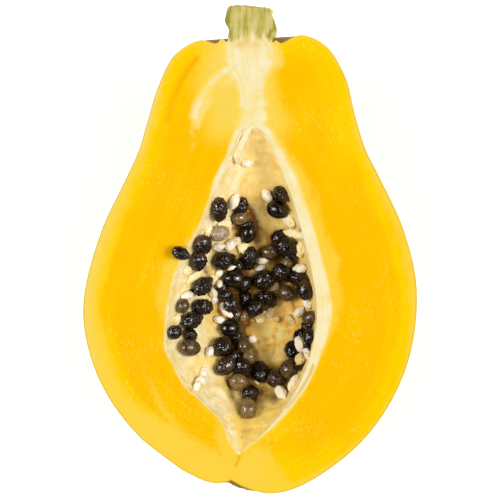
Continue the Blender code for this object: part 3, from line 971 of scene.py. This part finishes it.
def stem_material():
    s = Shader("stem_fibre")
    fibres = s.noise(1, 3, 0.6, s.stretch(620, 70, 620))
    patches = s.noise(260, 3, 0.6)
    tone = s.weigh((fibres, 0.65), (patches, 0.35))
    fresh = (
        (0.38, on_face(180, 168, 66)), (0.48, on_face(196, 181, 88)), (0.58, on_face(216, 199, 124)),
    )
    green = s.weigh((s.attribute("green"), 1), (tone, -1.6), shift=0.8)
    foot = s.weigh((s.attribute("foot"), 1), (fibres, 1.6), shift=-0.8)
    torn = s.weigh((s.attribute("torn"), 1), (patches, 0.8), shift=-0.4)
    base = s.coat(
        s.ramp(tone, *fresh),
        (s.step(green, 0.10, 0.9), on_face(154, 144, 30)),
        (s.step(foot, 0.10, 0.95), s.ramp(tone, *STEM_FOOT)),
        (s.step(torn, 0.45, 1), on_face(178, 142, 76)),
    )
    s.bump(fibres, 0.5, 0.0004)
    return s.finish(base, s.weigh((fibres, 0.2), shift=0.5), Specular_IOR_Level=0.2)


def add_stem_point(shell, point):
    """Add a point of the stub, moved by its fibres and by its torn top."""
    x, y, z = point
    on_cut = z > -0.01
    fibre = 0.16 * ripple(x * 1.7, y * 0.22, z * 1.7)
    torn_off = 0.45 * ripple(x * 0.9, 2, z * 0.9) - 0.3 - 0.07 * abs(x + 2)
    place = point + Vector((0, torn_off * smooth(82, 85, y), 0))
    if on_cut:
        place.z += fibre * smooth(72.6, 75, y) - 0.12 - 0.15 * smooth(73, 76, y)
        place.z -= 0.8 * (1 - smooth(71.2, 71.8, y))
    else:
        place += Vector((x, 0, z)).normalized() * fibre
    place.y = min(place.y, STEM_TOP)
    merge = 1 - smooth(72.2, 79 - 0.62 * abs(x), y + 2.2 * ripple(x * 0.9, y * 0.10, 6))
    scar = 0.9 * (1 - smooth(0.3, 1.2, math.hypot(abs(x) - 8.1, y - 73.8)))
    return shell.add(
        place,
        green=strongest(x, y, GREEN_STREAKS) if on_cut else 0.7,
        foot=merge if on_cut else 0.3 * merge,
        torn=max(0.85 * smooth(84.6, 85.8, y), scar),
    )


def build_stem():
    """Stub of the stem: a closed mesh with a cut face, fibre relief and a torn top."""
    rings, turns, columns = 90, 48, 40
    shell = Shell("green", "foot", "torn")
    rows = profile_grid(STEM_RIGHT, STEM_LEFT, STEM_BACK, rings, turns)
    skin = [
        [add_stem_point(shell, row[0])] * len(row) if ring in (0, rings)
        else [add_stem_point(shell, point) for point in row]
        for ring, row in enumerate(rows)
    ]
    cut = [skin[0][:columns + 1]]
    for row, ids in zip(rows[1:-1], skin[1:-1]):
        inner = [row[RIGHT].lerp(row[LEFT], column / columns) for column in range(1, columns)]
        cut.append([ids[RIGHT], *(add_stem_point(shell, point) for point in inner), ids[LEFT]])
    cut.append(skin[-1][:columns + 1])
    shell.sheet(skin)
    shell.sheet(cut)
    return shell.piece("stem_stub", "stem", [stem_material()], "stem")


def cream_seed_material(name, dark, middle, light):
    s = Shader(name)
    soft = s.noise(420, 3, 0.6)
    base = s.coat(
        s.ramp(soft, (0.30, dark), (0.50, middle), (0.72, light)),
        (s.weigh((s.attribute("tone"), 0.25)), dark),
    )
    s.bump(s.noise(1500, 3, 0.6), 0.20, 0.0003)
    return s.finish(base, s.weigh((soft, 0.3), shift=0.35), Specular_IOR_Level=0.25)


def ribbon_ring(path, place, half_width, rough_row, turns):
    """Points round a ribbon at a place of its path."""
    middle = curve_point(path, place)
    ahead = curve_point(path, min(1, place + 0.02)) - curve_point(path, max(0, place - 0.02))
    sideways = Vector((ahead.y, -ahead.x, 0)).normalized()
    upwards = sideways.cross(ahead).normalized()
    taper = math.sqrt(max(0, 1 - (2 * place - 1) ** 8)) * (1 - 0.5 * smooth(0.75, 1, place))
    ring = []
    for turn in range(turns):
        angle = 2 * math.pi * turn / turns
        rough = 1 + 0.3 * ripple(rough_row, 1.5 * math.cos(angle), half_width * 9)
        ring.append(
            middle
            + sideways * math.cos(angle) * half_width * taper * rough
            + upwards * math.sin(angle) * 0.7 * taper * rough
        )
    return ring


def build_ribbons(material):
    """Loose ribbons of pith, each a closed tube."""
    steps, turns = 60, 16
    shell = Shell("tone")
    for half_width, path in RIBBONS:
        ids = [
            [shell.add(point, tone=0.2)
             for point in ribbon_ring(path, step / steps, half_width, step * 0.13, turns)]
            for step in range(steps + 1)
        ]
        shell.sheet([ring + ring[:1] for ring in ids])
        shell.face(ids[0])
        shell.face(ids[-1])
    return shell.piece("pith_ribbons", "flesh", [material])


# ---------------------------------------------------------------- core of the seed heap


def edge_reach(reaches, turn):
    """Distance from the hollow's middle to one of the heap's edges, at an angle."""
    place = (turn / (2 * math.pi) % 1) * len(reaches)
    first = int(place) % len(reaches)
    after = reaches[(first + 1) % len(reaches)]
    return reaches[first] + (after - reaches[first]) * smooth(0, 1, place - int(place))


def grid_tree(grid):
    """Search tree over a grid of points."""
    wide = len(grid[0])
    faces = [
        (corner, corner + 1, corner + wide + 1, corner + wide)
        for ring in range(len(grid) - 1)
        for corner in range(ring * wide, ring * wide + wide - 1)
    ]
    return BVHTree.FromPolygons([point for row in grid for point in row], faces)


def height_under(tree, x, y):
    """Height of a surface under a place, or None outside it."""
    hit = tree.ray_cast(Vector((x, y, 20)), Vector((0, 0, -1)))[0]
    return hit.z if hit else None


def heap_place(angle, distance):
    """Place at an angle and a distance from the middle of the bare hollow."""
    return Vector(HOLLOW) + Vector((math.cos(angle), math.sin(angle))) * distance


def heap_edges(wall_tree):
    """Distances of the heap's edge from the hollow, angle by angle, clear of the steep wall."""
    edges = []
    for turn in range(CORE_TURNS):
        angle = 2 * math.pi * turn / CORE_TURNS
        outer = edge_reach(HOLLOW_REACH, angle)
        limit = edge_reach(HEAP_REACH, angle)
        last = height_under(wall_tree, *heap_place(angle, outer))
        while outer < limit:
            here = height_under(wall_tree, *heap_place(angle, outer + 0.5))
            if here is None or here > -1.5 or here - last > 0.7:
                break
            last = here
            outer += 0.5
        edges.append(outer)
    return [
        sum(edges[(turn + step) % CORE_TURNS] for step in range(-4, 5)) / 9
        for turn in range(CORE_TURNS)
    ]


def nearest_values():
    """Function that gives the values of the cavity wall's nearest point."""
    mesh = flesh.data
    on_wall = sorted({v for face in mesh.polygons if face.material_index == 2 for v in face.vertices})
    tree = search_tree([mesh.vertices[vertex].co for vertex in on_wall])
    names = ("cream", "deep", "dark", "fibre_across", "fibre_along")

    def at(point):
        nearest = on_wall[tree.find(world(point))[1]]
        return {name: mesh.attributes[name].data[nearest].value for name in names}

    return at


def core_column(wall_tree, angle, inner, outer):
    """Points of the core's lumpy top from its inner edge to its outer edge."""
    column = []
    for row in range(CORE_ROWS + 1):
        share = row / CORE_ROWS
        x, y = heap_place(angle, inner + (outer - inner) * share)
        height = height_under(wall_tree, x, y)
        lumps = 0.8 * ripple(x * 0.45, y * 0.45, 2) + 0.35 * ripple(x * 1.3, y * 1.3, 4)
        rise = max(0, math.sin(math.pi * share)) ** 0.7 * (1.2 + lumps) - 0.25
        column.append(Vector((x, y, (-1.0 if height is None else height) + rise)))
    return column


def build_core(wall_tree, material):
    """Build the lumpy bed of pulp under the loose seeds and return its top as a search tree."""
    columns = []
    for turn, edge in enumerate(heap_edges(wall_tree)):
        angle = 2 * math.pi * turn / CORE_TURNS
        inner = edge_reach(HOLLOW_REACH, angle)
        columns.append(core_column(wall_tree, angle, inner, max(inner + 0.5, edge)))
    values = nearest_values()
    shell = Shell(*values(columns[0][0]))
    top = [[shell.add(point, **values(point)) for point in column] for column in columns]
    bottom = []
    for column in columns:
        sunk = [
            point - Vector((0, 0, 0.4 + 1.6 * math.sin(math.pi * row / CORE_ROWS)))
            for row, point in enumerate(column)
        ]
        bottom.append([shell.add(point, **values(point)) for point in sunk])
    edges = [[[a[end], b[end]] for a, b in zip(top, bottom)] for end in (0, -1)]
    for grid in (top, bottom, *edges):
        shell.sheet(grid + grid[:1])
    shell.piece("pulp_bed", "seeds", [material], "seeds")
    return grid_tree(columns + columns[:1])


# ---------------------------------------------------------------- loose seeds

KNOB_PITCH = 1.2      # distance between the knobs of a wrinkled seed
KNOBBED = ("wrinkled", "brown_wrinkled")


class Relief:
    """Heights of all that lies in the cavity, on a fine raster that grows with each seed."""

    STEP = 0.4
    LOW = (-34, -76)
    CELLS = (170, 310)

    def __init__(self, trees):
        self.x, self.y = np.meshgrid(
            *(low + self.STEP * np.arange(count) for low, count in zip(self.LOW, self.CELLS)),
            indexing="ij",
        )
        self.height = np.zeros(self.CELLS)
        for cell in np.ndindex(*self.CELLS):
            heights = [height_under(tree, self.x[cell], self.y[cell]) for tree in trees]
            self.height[cell] = max((height for height in heights if height is not None), default=0)

    def footprint(self, x, y, length, width, turn):
        """Squared share of the way from the middle of an ellipse to its edge, cell by cell."""
        along = (self.x - x) * math.cos(turn) + (self.y - y) * math.sin(turn)
        across = (self.y - y) * math.cos(turn) - (self.x - x) * math.sin(turn)
        return (2 * along / length) ** 2 + (2 * across / width) ** 2

    def rest(self, x, y, length, width, turn, thickness, lift):
        """Centre and tilt of an egg that lies on the relief, which then grows by its top."""
        shares = self.footprint(x, y, length, width, turn)
        near, wide, inside = shares < 0.8, shares < 2.2, shares < 1
        sides = (self.x - x, self.y - y)
        plane_terms = np.column_stack([np.ones(wide.sum()), sides[0][wide], sides[1][wide]])
        plane = np.linalg.lstsq(plane_terms, self.height[wide], rcond=None)[0]
        limit = min(1, 0.9 / max(math.hypot(plane[1], plane[2]), 1e-6))
        slope = (plane[1] * limit, plane[2] * limit)
        tilted = slope[0] * sides[0] + slope[1] * sides[1]
        rise = np.sort(self.height[near] - tilted[near])
        ground = float(rise[len(rise) // 2:].mean())
        centre = ground + lift * thickness * math.sqrt(1 + slope[0] ** 2 + slope[1] ** 2)
        tops = centre + 0.5 * thickness * np.sqrt(1 - shares[inside]) + tilted[inside]
        self.height[inside] = np.maximum(self.height[inside], tops)
        return Vector((x, y, centre)), Vector((-slope[0], -slope[1], 1)).normalized()


def seed_swell(kind, spot, size, offset):
    """How far a seed's skin stands out or in at a spot of the unit ball."""
    length, width, thickness = size
    knobs = noise.noise(spot * 5.2 + offset)
    if kind in KNOBBED:
        real = Vector((spot.x * length * 0.34, spot.y * width * 0.5, spot.z * thickness * 0.5))
        nearest = noise.voronoi(real / KNOB_PITCH + offset)[0]
        return 0.94 + 0.28 * min(0.45, nearest[1] - nearest[0]) + 0.04 * knobs
    if kind in PALE_KINDS:
        return 1 + 0.24 * noise.noise(spot * 1.7 + offset) + 0.06 * knobs
    if kind == "tuft":
        return 1 + 0.4 * noise.noise(spot * 1.7 + offset) + 0.16 * knobs
    return 1 + 0.03 * noise.noise(spot * 1.8 + offset)


def seed_points(kind, size, chance, segments, rings):
    """Points of one seed round the origin, its length along X, with its kind's relief."""
    length, width, thickness = size
    offset = Vector((chance.uniform(-50, 50), chance.uniform(-50, 50), 0))
    lean = chance.uniform(-0.12, 0.12)
    point_out = chance.choice((0, 0, 0.10, 0.22))
    rows = []
    for ring in range(rings + 1):
        polar = math.pi * ring / rings
        row = []
        for segment in range(segments):
            angle = 2 * math.pi * segment / segments
            spot = Vector((
                math.cos(polar), math.sin(polar) * math.cos(angle), math.sin(polar) * math.sin(angle)
            ))
            swell = seed_swell(kind, spot, size, offset)
            tip = smooth(0.65, 1, spot.x)
            taper = (1 + lean * spot.x) * (1 - 1.4 * point_out * tip)
            row.append(Vector((
                spot.x * length / 2 * (1 + (swell - 1) * 0.5 + point_out * tip),
                spot.y * width / 2 * swell * taper,
                spot.z * thickness / 2 * swell * taper,
            )))
        rows.append(row)
    return rows


def black_seed_material(name, dark, light, rough, veins=0, vein_shade=(150, 136, 124), gloss=0.5):
    s = Shader(name)
    cloud = s.noise(700, 3, 0.6)
    base = s.coat(
        dark,
        (s.step(cloud, 0.35, 0.70), light),
        (s.weigh((s.attribute("low"), 0.8)), (84, 50, 18)),
        (s.weigh((s.step(s.noise(1300, 2, 0.6), 0.54, 0.70), veins)), vein_shade),
        (s.weigh((s.attribute("tone"), 0.10)), (84, 60, 40)),
    )
    s.bump(s.noise(900, 1), rough, 0.0004)
    return s.finish(base, s.weigh((cloud, 0.06), shift=0.03), Specular_IOR_Level=gloss)


def egg_piece(name, kind, eggs, material, replaces):
    """One mesh of several eggs, each given as (centre, normal, size, turn)."""
    segments, rings = (56, 38) if kind in KNOBBED else (40, 26)
    chance = random.Random(name)
    shell = Shell("low", "tone")
    for centre, normal, size, turn in eggs:
        along = Vector((math.cos(turn), math.sin(turn), 0))
        along = (along - normal * along.dot(normal)).normalized()
        turned = Matrix((along, normal.cross(along), normal)).transposed()
        shade = chance.random()
        ids = []
        for ring, row in enumerate(seed_points(kind, size, chance, segments, rings)):
            numbers = []
            for point in row[:1] if ring in (0, rings) else row:
                under = 1 - smooth(-0.7, 0.05, 2 * point.z / size[2])
                end = smooth(0.55, 1, 2 * point.x / size[0]) * smooth(0.35, 0.65, shade)
                numbers.append(shell.add(centre + turned @ point, low=max(under, end), tone=shade))
            ids.append(numbers * (segments + 1) if ring in (0, rings) else numbers + numbers[:1])
        shell.sheet(ids)
    return shell.piece(name, "seeds", [material], replaces)


def seed_materials():
    """Material of each kind of seed and of the tufts of pith."""
    return {
        "wrinkled": black_seed_material("black_wrinkled_seed", (8, 3, 1), (26, 13, 4), 0.35),
        "smooth": black_seed_material("black_smooth_seed", (8, 3, 1), (22, 11, 3), 0.03),
        "brown": black_seed_material("brown_seed", (60, 42, 15), (92, 70, 33), 0.35, 0.35),
        "brown_wrinkled": black_seed_material(
            "brown_wrinkled_seed", (28, 15, 4), (62, 38, 14), 0.45, 0.25),
        "grey": black_seed_material(
            "grey_seed", (92, 70, 32), (132, 108, 66), 0.25, 0.4, (160, 142, 116)),
        "pale_grey": black_seed_material(
            "pale_grey_seed", (140, 118, 90), (180, 158, 128), 0.25, 0.5, (206, 192, 170), 0.4),
        "cream": cream_seed_material(
            "cream_seed", (229, 212, 176), (241, 228, 203), (247, 239, 221)),
        "tan": cream_seed_material("tan_seed", (200, 166, 96), (222, 196, 132), (238, 218, 168)),
        "tuft": cream_seed_material("pith_tuft", (236, 208, 132), (246, 228, 172), (250, 240, 206)),
    }


def build_seeds(relief):
    """All loose seeds and tufts, one mesh for each kind."""
    chance = random.Random(7)
    materials = seed_materials()
    laid = {kind: [] for kind in materials}

    def lay(kind, x, y, length, width, degrees, thickness, lift):
        turn = math.radians(degrees)
        centre, normal = relief.rest(x, y, length, width, turn, thickness, lift)
        laid[kind].append((centre, normal, (length, width, thickness), turn))

    for tuft in TUFTS:
        lay("tuft", *tuft, 0.55 * min(tuft[2:4]) + 0.3, 0.26)
    for *seed, kind in SEEDS:
        lay(kind, *seed, seed[3] * chance.uniform(0.82, 0.95), 0.28 if kind in PALE_KINDS else 0.38)
    for kind, eggs in laid.items():
        egg_piece(kind + "_seeds", kind, eggs, materials[kind], "seeds")
    low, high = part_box("rim_seed")
    middle = (low + high) / 2
    place = Vector((
        (middle.x - SHIFT.x) / MM, (middle.y - SHIFT.y) / MM, (middle.z - CUT_HEIGHT) / MM - 0.25
    ))
    size = (6.5, 4.6, 0.92 * (high.z - low.z) / MM)
    on_rim = (place, Vector((0, 0, 1)), size, math.radians(-25))
    egg_piece("rim_seed_real", "wrinkled", [on_rim], materials["wrinkled"], "rim_seed")


# Stub and ribbons first, then the bed of pulp, which the loose seeds lie on.
PITH_SHADES = ((246, 220, 150), (248, 230, 178), (250, 236, 196))
build_stem()
build_ribbons(
    cream_seed_material("pith_ribbon", *(colour(shade, RIBBON_LIGHT) for shade in PITH_SHADES))
)
wall_tree = grid_tree(wall_grid)
core_tree = build_core(wall_tree, wall_material("pulp"))
build_seeds(Relief([wall_tree, core_tree]))

# ---------------------------------------------------------------- floor, light and camera

LAMP_DISTANCE = 0.9
LENS = 300
SENSOR = 36
FIELD = 0.175         # what the camera sees at the cut face, in metres


def floor_material():
    """White floor that also gives a little light of its own, so that it stays white."""
    return Shader("floor").finish(
        colour((255, 255, 255)), 0.9, Emission_Strength=0.20, Specular_IOR_Level=0.1)


def add_stage():
    bpy.ops.mesh.primitive_plane_add(size=6, location=(0, 0, 0))
    floor = bpy.context.object
    floor.name = "floor"
    floor.data.materials.append(floor_material())


def add_light(name, azimuth, polar, size, power):
    """Soft box that faces the fruit; polar is its angle from straight up."""
    lamp = bpy.data.lights.new(name, "AREA")
    lamp.shape = "RECTANGLE"
    lamp.size, lamp.size_y = size
    lamp.energy = power
    thing = bpy.data.objects.new(name, lamp)
    bpy.context.scene.collection.objects.link(thing)
    turn = math.radians(azimuth)
    tilt = math.radians(polar)
    away = Vector((math.sin(tilt) * math.cos(turn), math.sin(tilt) * math.sin(turn), math.cos(tilt)))
    thing.location = Vector((0, 0, CUT_HEIGHT)) + away * LAMP_DISTANCE
    thing.rotation_euler = away.to_track_quat("Z", "Y").to_euler()


def add_camera():
    data = bpy.data.cameras.new("camera")
    data.lens = LENS
    data.sensor_width = SENSOR
    data.clip_end = 20
    camera = bpy.data.objects.new("camera", data)
    bpy.context.scene.collection.objects.link(camera)
    camera.location = (SHIFT.x, SHIFT.y - 0.25 * MM, CUT_HEIGHT + FIELD * LENS / SENSOR)
    bpy.context.scene.camera = camera


def add_world(low, overhead):
    """White studio walls under a dim ceiling."""
    surroundings = bpy.data.worlds.new("studio")
    surroundings.use_nodes = True
    nodes = surroundings.node_tree.nodes
    links = surroundings.node_tree.links
    direction = nodes.new("ShaderNodeTexCoord").outputs["Generated"]
    parts = nodes.new("ShaderNodeSeparateXYZ")
    links.new(direction, parts.inputs[0])
    fade = nodes.new("ShaderNodeMapRange")
    fade.interpolation_type = "SMOOTHSTEP"
    limits = {"From Min": 0.40, "From Max": 0.85, "To Min": low, "To Max": overhead}
    for label, value in limits.items():
        fade.inputs[label].default_value = value
    links.new(parts.outputs["Z"], fade.inputs["Value"])
    backdrop = nodes["Background"]
    backdrop.inputs["Color"].default_value = (1, 1, 1, 1)
    links.new(fade.outputs["Result"], backdrop.inputs["Strength"])
    bpy.context.scene.world = surroundings


add_stage()
add_world(0.25, 0.03)
for side, azimuth in (("left", 180), ("right", 0)):
    add_light("box_" + side, azimuth, 42, (0.62, 0.90), 5)
    add_light("bulb_" + side, azimuth, 41, (0.15, 0.28), 3.1)
add_camera()
bpy.context.scene.view_settings.view_transform = "Standard"
